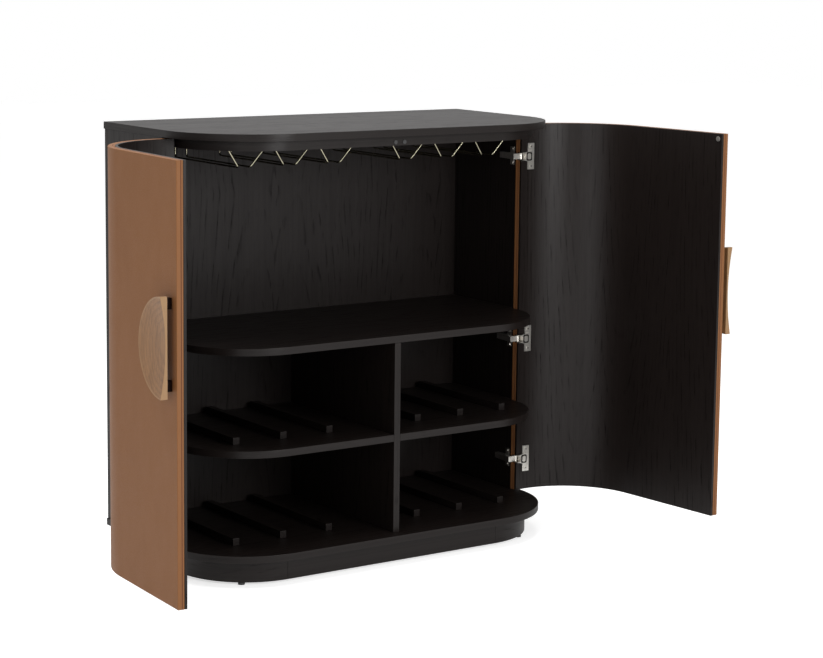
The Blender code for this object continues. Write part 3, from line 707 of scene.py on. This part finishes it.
def level_grain(node, shift):
    """Grain that runs from side to side, and along the curved front edge.

    An edge shows the plain heart of the veneer, which runs through the plinth's joints.
    """
    case = Case()
    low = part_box(node)[0].z
    heart = bpy.context.scene.cabinet.boards.leaf_width * HEART_PLACE
    edge_shift = 0 if node.startswith("plinth") else shift

    def grain(point, normal):
        if abs(normal.z) > LEVEL_NORMAL:
            return cut_further(point.y, point.z, point.x, shift)
        run = case.run(point) + edge_shift * ALONG_SHIFT
        return Vector((point.z - low + heart, 0, run))
    return grain


def upright_grain(shift):
    """Grain that runs upward on a flat upright board."""
    def grain(point, normal):
        if abs(normal.y) > abs(normal.x):
            return cut_further(point.x, point.y, point.z, shift)
        return cut_further(point.y, point.x, point.z, shift)
    return grain


def lengthwise_grain(shift):
    """Grain that runs from front to back along a rail."""
    def grain(point, normal):
        if abs(normal.z) > LEVEL_NORMAL:
            return cut_further(point.x, point.z, point.y, shift)
        return cut_further(point.z, point.x, point.y, shift)
    return grain


def node_copy(node):
    """A node's shape with its doubles merged and its flat faces made whole."""
    shape = bmesh.new()
    shape.from_mesh(NODES[node].data)
    bmesh.ops.remove_doubles(shape, verts=shape.verts, dist=MERGE_DISTANCE)
    bmesh.ops.dissolve_limit(shape, angle_limit=FLAT_ANGLE, verts=shape.verts, edges=shape.edges)
    return shape


def bevel_edges(shape, edges, width, segments):
    """Round the given edges of a shape."""
    bmesh.ops.bevel(shape, geom=edges, offset=width, offset_type="OFFSET", segments=segments,
                    profile=0.5, affect="EDGES", material=-1, clamp_overlap=True)


def ease_edges(shape, width, segments, wanted=None):
    """Round the sharp edges of a shape, or those of them that are wanted."""
    sharp = [edge for edge in shape.edges
             if edge.is_manifold and edge.calc_face_angle() > SHARP_ANGLE]
    bevel_edges(shape, [edge for edge in sharp if wanted is None or wanted(edge)], width, segments)


def add_block(shape, place, size, ease, segments):
    """Add a block with rounded edges to a shape."""
    size = Matrix.Diagonal((*size, 1))
    made = bmesh.ops.create_cube(shape, size=1, matrix=place @ size)
    edges = dict.fromkeys(edge for vertex in made["verts"] for edge in vertex.link_edges)
    bevel_edges(shape, list(edges), ease, segments)


def add_piece(name, shape, make, body, nodes, grain=None):
    """Finish a shape as a piece that rides on a body and stands for its nodes.

    The make function gives its material, and grain the place of its corners in the timber.
    """
    mesh = bpy.data.meshes.new(name)
    shape.to_mesh(mesh)
    shape.free()
    if "custom_normal" in mesh.attributes:
        mesh.attributes.remove(mesh.attributes["custom_normal"])
    mesh.materials.append(shared(make))
    mesh.shade_smooth()
    mesh.set_sharp_from_angle(angle=SHADING_ANGLE)
    if grain is not None:
        write_grain(mesh, grain)
    piece = add_object(name, mesh)
    piece.modifiers.new("even_shading", "WEIGHTED_NORMAL").keep_sharp = True
    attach(piece, body)
    if nodes:
        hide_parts(*nodes)


def add_eased(node, ending, width, segments, make, body, grain=None):
    """Add a node's own shape with rounded edges, in place of the node."""
    shape = node_copy(node)
    ease_edges(shape, width, segments)
    add_piece(f"{node}_{ending}", shape, make, body, [node], grain)


def write_grain(mesh, grain):
    """Store each face corner's place in the timber."""
    values = mesh.attributes.new(GRAIN, "FLOAT_VECTOR", "CORNER").data
    for face in mesh.polygons:
        for corner in face.loop_indices:
            point = mesh.vertices[mesh.loops[corner].vertex_index].co
            values[corner].vector = grain(point, face.normal)


LEVEL_BOARDS = ("top_panel", "sub_top_panel", "middle_shelf", "lower_shelf_left",
                "lower_shelf_right", "base_panel", "plinth_front", "plinth_back",
                "plinth_side_left", "plinth_side_right")
UPRIGHT_BOARDS = ("side_panel_left", "side_panel_right", "back_panel", "centre_divider")


class CABINET_OT_boards(Operator):
    """Add the case's oak boards with eased edges and veneer"""
    bl_idname = "cabinet.boards"
    bl_label = "Boards"

    def execute(self, context):
        look = context.scene.cabinet.boards
        for number, node in enumerate(LEVEL_BOARDS + UPRIGHT_BOARDS):
            shift = number * BOARD_SHIFT
            grain = level_grain(node, shift) if node in LEVEL_BOARDS else upright_grain(shift)
            add_eased(node, "veneered", look.ease, 2, oak_veneer, "cabinet", grain)
        return {"FINISHED"}


class CABINET_OT_rails(Operator):
    """Add the square bottle rails with eased edges"""
    bl_idname = "cabinet.rails"
    bl_label = "Bottle Rails"

    def execute(self, context):
        look = context.scene.cabinet.boards
        rails = sorted(node for node in NODES if node.startswith("bottle_rail"))
        for number, node in enumerate(rails):
            add_eased(node, "eased", look.ease * RAIL_EASE, 3, oak_veneer, "cabinet",
                      lengthwise_grain(number * RAIL_SHIFT))
        return {"FINISHED"}


class CABINET_OT_doors(Operator):
    """Add the curved door panels and the leather folded round them"""
    bl_idname = "cabinet.doors"
    bl_label = "Doors"

    def execute(self, context):
        boards = context.scene.cabinet.boards
        for name in SIDES:
            door = Door(name)
            add_eased(f"door_panel_{name}", "veneered", boards.ease, 2, oak_veneer, door.body,
                      door.grain)
            self.add_leather(context.scene.cabinet.leather, door)
        return {"FINISHED"}

    def add_leather(self, look, door):
        """Round the leather where it folds over the panel and where it ends against the lip."""
        leather = f"door_leather_{door.name}"
        shape = node_copy(leather)
        deepest = max(door.plan(vertex.co).y for vertex in shape.verts)

        def near(depth):
            return lambda edge: all(abs(door.plan(vertex.co).y - depth) < look.round_over / 4
                                    for vertex in edge.verts)
        ease_edges(shape, look.round_over, 3, near(0.0))
        ease_edges(shape, look.end_ease, 2, near(deepest))
        add_piece(f"{leather}_folded", shape, tan_leather, door.body, [leather],
                  door.grain)


class CABINET_OT_pulls(Operator):
    """Add the half round pulls, hollowed in front, and their blocks"""
    bl_idname = "cabinet.pulls"
    bl_label = "Pulls"

    def execute(self, context):
        look = context.scene.cabinet.pulls
        for name in SIDES:
            door = Door(name)
            pull = f"handle_{name}"
            low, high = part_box(pull)
            face = door.case.front + door.case.overhang
            centre = Vector((look.setback, face - look.standoff, (low.z + high.z) / 2))
            shape = self.half_disc(look)
            bmesh.ops.transform(shape, matrix=door.to_world @ Matrix.Translation(centre),
                                verts=shape.verts)
            bmesh.ops.recalc_face_normals(shape, faces=shape.faces)

            def grain(point, normal, door=door, centre=centre):
                local = door.to_closed @ point - centre
                return Vector((local.x, -local.y, local.z))
            add_piece(f"{pull}_carved", shape, carved_oak, door.body, [pull], grain)
            for end in ("upper", "lower"):
                add_eased(f"handle_spacer_{end}_{name}", "eased", look.round_over / 2, 3,
                          block_oak, door.body, door.grain)
        return {"FINISHED"}

    def half_disc(self, look):
        """Spin a profile half round the pull's axis and close its straight side."""
        fall = look.rim - look.middle
        bowl = (look.radius ** 2 + fall ** 2) / (2 * fall)
        soft = look.round_over
        edge = look.radius - soft
        profile = [(0, 0)]
        for depth, sixths in ((soft, (0, 1, 2, 3)), (look.rim - soft, (3, 4, 5))):
            for turn in (sixth * math.pi / 6 for sixth in sixths):
                profile.append((edge + soft * math.sin(turn), depth - soft * math.cos(turn)))
        for ring in range(HOLLOW_RINGS, -1, -1):
            reach = edge * ring / HOLLOW_RINGS
            profile.append((reach, look.middle + bowl - math.sqrt(bowl ** 2 - reach ** 2)))
        shape = bmesh.new()
        points = [shape.verts.new((0, -depth, reach)) for reach, depth in profile]
        edges = [shape.edges.new(pair) for pair in zip(points, points[1:])]
        bmesh.ops.spin(shape, geom=points + edges, cent=(0, 0, 0), axis=(0, 1, 0),
                       angle=math.pi, steps=look.steps, use_merge=False, use_duplicate=False)
        bmesh.ops.remove_doubles(shape, verts=shape.verts, dist=MERGE_DISTANCE)
        border = [edge for edge in shape.edges if edge.is_boundary]
        straight = bmesh.ops.contextual_create(shape, geom=border)["faces"]
        bmesh.ops.recalc_face_normals(shape, faces=shape.faces)
        rim = [edge for edge in straight[0].edges if edge.calc_face_angle() > SHARP_ANGLE]
        bevel_edges(shape, rim, soft / 2, 2)
        return shape


class CABINET_OT_racks(Operator):
    """Add the bent wire racks and the straps they hang from"""
    bl_idname = "cabinet.racks"
    bl_label = "Stemware Racks"

    def execute(self, context):
        look = context.scene.cabinet.racks
        middle = Case().middle
        for name, side in SIDES.items():
            node = f"stemware_rack_{name}"
            low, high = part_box(node)
            front = low.y + look.strap_width / 2 + look.lean
            rear = high.y - look.strap_width / 2
            shape = bmesh.new()
            for channel in range(look.channels):
                centre = middle.x + side * (look.first + channel * look.pitch)
                for outward in (-1, 1):
                    self.add_wire(shape, look, centre + outward * look.gap / 2, outward,
                                  (front, rear), (low.z + look.wire, high.z))
            for y in (front - look.lean, rear):
                place = ((low.x + high.x) / 2, y, high.z - look.strap_thickness / 2)
                size = (high.x - low.x, look.strap_width, look.strap_thickness)
                add_block(shape, Matrix.Translation(place), size, look.strap_thickness / 4, 2)
            add_piece(f"{node}_bent", shape, drawn_brass, "cabinet", [node])
        return {"FINISHED"}

    def add_wire(self, shape, look, x, outward, ends, levels):
        """Sweep a round wire along its slanted leg, rail and rear leg."""
        front, rear = ends
        rail, top = levels
        top -= look.strap_thickness / 2
        corners = [Vector((x + outward * look.spread, front - look.lean, top)),
                   Vector((x, front, rail)), Vector((x, rear, rail)), Vector((x, rear, top))]
        line = bpy.data.curves.new("wire", "CURVE")
        line.dimensions = "3D"
        line.bevel_depth = look.wire
        line.bevel_resolution = WIRE_ROUNDNESS
        line.use_fill_caps = True
        route = rounded_route(corners, look.bend, BEND_STEPS)
        spline = line.splines.new("POLY")
        spline.points.add(len(route) - 1)
        for point, place in zip(spline.points, route):
            point.co = (*place, 1)
        wire = add_object("wire", line)
        bpy.context.view_layer.update()
        mesh = bpy.data.meshes.new_from_object(wire)
        shape.from_mesh(mesh)
        bpy.data.objects.remove(wire)
        bpy.data.meshes.remove(mesh)
        bpy.data.curves.remove(line)


def rounded_route(corners, radius, steps):
    """A route through corner points with its inner corners bent to arcs."""
    route = [corners[0]]
    for before, corner, after in zip(corners, corners[1:], corners[2:]):
        toward = (before - corner).normalized()
        away = (after - corner).normalized()
        half = toward.angle(away) / 2
        centre = corner + (toward + away).normalized() * (radius / math.sin(half))
        start = corner + toward * (radius / math.tan(half)) - centre
        end = corner + away * (radius / math.tan(half)) - centre
        for step in range(steps + 1):
            route.append(centre + start.slerp(end, step / steps).normalized() * radius)
    route.append(corners[-1])
    return route


class CABINET_OT_hinges(Operator):
    """Add the hinge cups on the doors and the hinge arms on the sides"""
    bl_idname = "cabinet.hinges"
    bl_label = "Hinges"

    def execute(self, context):
        look = context.scene.cabinet.fittings
        for name in SIDES:
            for level in LEVELS:
                for kind, body in (("cup", f"door_{name}"), ("arm", "cabinet")):
                    node = f"hinge_{kind}_{level}_{name}"
                    shape = node_copy(node)
                    heads = [(face.calc_center_median(), face.normal.copy())
                             for face in shape.faces if self.is_screw_head(face, look)]
                    ease_edges(shape, look.ease, 2)
                    add_piece(f"{node}_plated", shape, plated_nickel, body, [node])
                    # Each screw's cross recess is a pair of dark slots of painted shade
                    add_piece(f"{node}_recesses", self.recesses(heads, look), dark_recess,
                              body, ())
                    if kind == "cup":
                        self.add_mouth(f"hinge_{level}_{name}", heads, body, look)
        return {"FINISHED"}

    def add_mouth(self, name, heads, body, look):
        """The mouth of a hinge cup, a dark plate of painted shade round the lid, and the pressed
        lid of the link that lies in it.
        """
        (first, out), (second, _) = heads
        middle = (first + second) / 2
        pivot = joint_of(body)["pos_m"]
        reach = Vector((pivot[0], pivot[1], middle.z)) - middle
        across = (reach - out * reach.dot(out)).normalized()
        turn = Matrix((across, out.cross(across), out)).transposed().to_4x4()
        centre = middle + across * look.mouth_place + out * look.mouth_rise
        place = Matrix.Translation(centre) @ turn
        (length, height), border = look.mouth_size, look.mouth_border * 2
        # The mouth is a dark plate of painted shade that shows round the lid
        mouth = self.rounded_plate(place, (length, height, look.slot_depth), look.mouth_corner)
        add_piece(f"{name}_mouth", mouth, dark_recess, body, ())
        lid = self.rounded_plate(place, (length - border, height - border, look.lid_height),
                                 look.lid_corner)
        ease_edges(lid, look.ease / 2, 2)
        add_piece(f"{name}_lid", lid, plated_nickel, body, ())

    def rounded_plate(self, place, size, corner):
        """A plate with rounded corners, half of it above the face it lies on."""
        shape = bmesh.new()
        bmesh.ops.create_cube(shape, size=1, matrix=Matrix.Diagonal((*size, 1)))
        upright = [edge for edge in shape.edges
                   if abs(edge.verts[0].co.z - edge.verts[1].co.z) > size[2] / 2]
        bevel_edges(shape, upright, corner, 5)
        bmesh.ops.transform(shape, matrix=place, verts=shape.verts)
        return shape

    def is_screw_head(self, face, look):
        """Whether a face is the round top of a screw, which looks sideways as no pin's end does."""
        sides = look.screw_sides
        area = sides / 2 * math.sin(math.tau / sides) * look.screw_radius ** 2
        sideways = abs(face.normal.z) < LEVEL_NORMAL
        same_sides = abs(len(face.verts) - sides) <= SCREW_SIDES_SLACK
        same_area = abs(face.calc_area() / area - 1) < SCREW_AREA_SLACK
        return sideways and same_sides and same_area

    def recesses(self, heads, look):
        """The cross recess of each screw, as two crossed slots: thin dark blocks of painted shade
        that sit on the head.
        """
        shape = bmesh.new()
        size = (look.screw_radius * SLOT_LENGTH, look.slot_width, look.slot_depth)
        for centre, normal in heads:
            turn = normal.to_track_quat("Z", "Y").to_matrix().to_4x4()
            for spin in (math.pi / 4, -math.pi / 4):
                place = Matrix.Translation(centre) @ turn @ Matrix.Rotation(spin, 4, "Z")
                add_block(shape, place, size, look.slot_depth / 4, 1)
        return shape


class CABINET_OT_catches(Operator):
    """Add the round magnets and their strike discs"""
    bl_idname = "cabinet.catches"
    bl_label = "Catches"

    def execute(self, context):
        look = context.scene.cabinet.fittings
        for name in SIDES:
            add_eased(f"catch_magnet_{name}", "eased", look.ease, 2, glide_plastic, "cabinet")
            add_eased(f"catch_strike_{name}", "eased", look.ease, 2, plated_nickel,
                      f"door_{name}")
        return {"FINISHED"}


class CABINET_OT_feet(Operator):
    """Add the round glides under the plinth"""
    bl_idname = "cabinet.feet"
    bl_label = "Feet"

    def execute(self, context):
        look = context.scene.cabinet.fittings
        for node in sorted(node for node in NODES if node.startswith("foot_")):
            add_eased(node, "glide", look.ease * FOOT_EASE, 3, glide_plastic, "cabinet")
        return {"FINISHED"}


class CABINET_OT_stage(Operator):
    """Add the floor, the lights, the world and the camera"""
    bl_idname = "cabinet.stage"
    bl_label = "Stage"

    def execute(self, context):
        look = context.scene.cabinet.stage
        self.add_floor(look)
        self.set_world(context.scene, look)
        self.add_lights(look)
        self.add_camera(context.scene, look)
        context.scene.view_settings.view_transform = "Standard"
        return {"FINISHED"}

    def add_floor(self, look):
        shape = bmesh.new()
        bmesh.ops.create_grid(shape, x_segments=8, y_segments=8, size=look.floor_span / 2)
        mesh = bpy.data.meshes.new("floor")
        shape.to_mesh(mesh)
        shape.free()
        floor = add_object("floor", mesh)
        finish = new_finish("pale_floor")
        glow = finish.blend(finish.backdrop_ray(), (0, 0, 0), (1, 1, 1))
        mesh.materials.append(finish.set(Base_Color=(0.8, 0.8, 0.8), Roughness=0.9,
                                         Emission_Color=glow, Emission_Strength=look.floor_glow))

    def set_world(self, scene, look):
        finish = Finish(bpy.data.worlds.new("studio"), "Background")
        strength = look.ambient + finish.backdrop_ray() * (1 - look.ambient)
        scene.world = finish.set(Color=(1, 1, 1), Strength=strength)

    def add_lights(self, look):
        middle = Case().middle
        target = middle + Vector(LIGHT_TARGET)
        for name, (place, side) in LIGHTS.items():
            data = bpy.data.lights.new(f"{name}_light", "AREA")
            data.shape = "SQUARE"
            data.size = side
            data.energy = getattr(look, name)
            light = add_object(f"{name}_light", data)
            light.location = middle + Vector(place)
            light.rotation_euler = (target - light.location).to_track_quat("-Z", "Y").to_euler()

    def add_camera(self, scene, look):
        data = bpy.data.cameras.new("camera")
        data.sensor_width = SENSOR_WIDTH
        data.lens = look.focal
        data.shift_y = -look.rise / PICTURE_WIDTH
        camera = add_object("camera", data)
        forward = Vector((math.sin(look.yaw) * math.cos(look.pitch),
                          math.cos(look.yaw) * math.cos(look.pitch), -math.sin(look.pitch)))
        level = Vector((math.cos(look.yaw), -math.sin(look.yaw), 0))
        above = level.cross(forward)
        right = level * math.cos(look.roll) + above * math.sin(look.roll)
        up = above * math.cos(look.roll) - level * math.sin(look.roll)
        turn = Matrix((right, up, -forward)).transposed().to_4x4()
        place = Case().middle + Vector(look.camera_place)
        camera.matrix_world = Matrix.Translation(place) @ turn
        scene.camera = camera


OPERATORS = (CABINET_OT_boards, CABINET_OT_rails, CABINET_OT_doors, CABINET_OT_pulls,
             CABINET_OT_racks, CABINET_OT_hinges, CABINET_OT_catches, CABINET_OT_feet,
             CABINET_OT_stage)


class CABINET_PT_sidebar(Panel):
    """Lists the cabinet's operators in the sidebar"""
    bl_idname = "CABINET_PT_sidebar"
    bl_label = "Bar Cabinet"
    bl_space_type = "VIEW_3D"
    bl_region_type = "UI"
    bl_category = "Cabinet"

    def draw(self, context):
        for operator in OPERATORS:
            self.layout.operator(operator.bl_idname)


CLASSES = (BoardSettings, LeatherSettings, PullSettings, RackSettings, FittingSettings,
           StageSettings, CabinetSettings, *OPERATORS, CABINET_PT_sidebar)


def register():
    for made in CLASSES:
        bpy.utils.register_class(made)
    bpy.types.Scene.cabinet = PointerProperty(type=CabinetSettings)


def unregister():
    del bpy.types.Scene.cabinet
    for made in reversed(CLASSES):
        bpy.utils.unregister_class(made)


def main():
    register()
    bpy.ops.cabinet.boards()
    bpy.ops.cabinet.rails()
    bpy.ops.cabinet.doors()
    bpy.ops.cabinet.pulls()
    bpy.ops.cabinet.racks()
    bpy.ops.cabinet.hinges()
    bpy.ops.cabinet.catches()
    bpy.ops.cabinet.feet()
    bpy.ops.cabinet.stage()


if __name__ == "__main__":
    main()
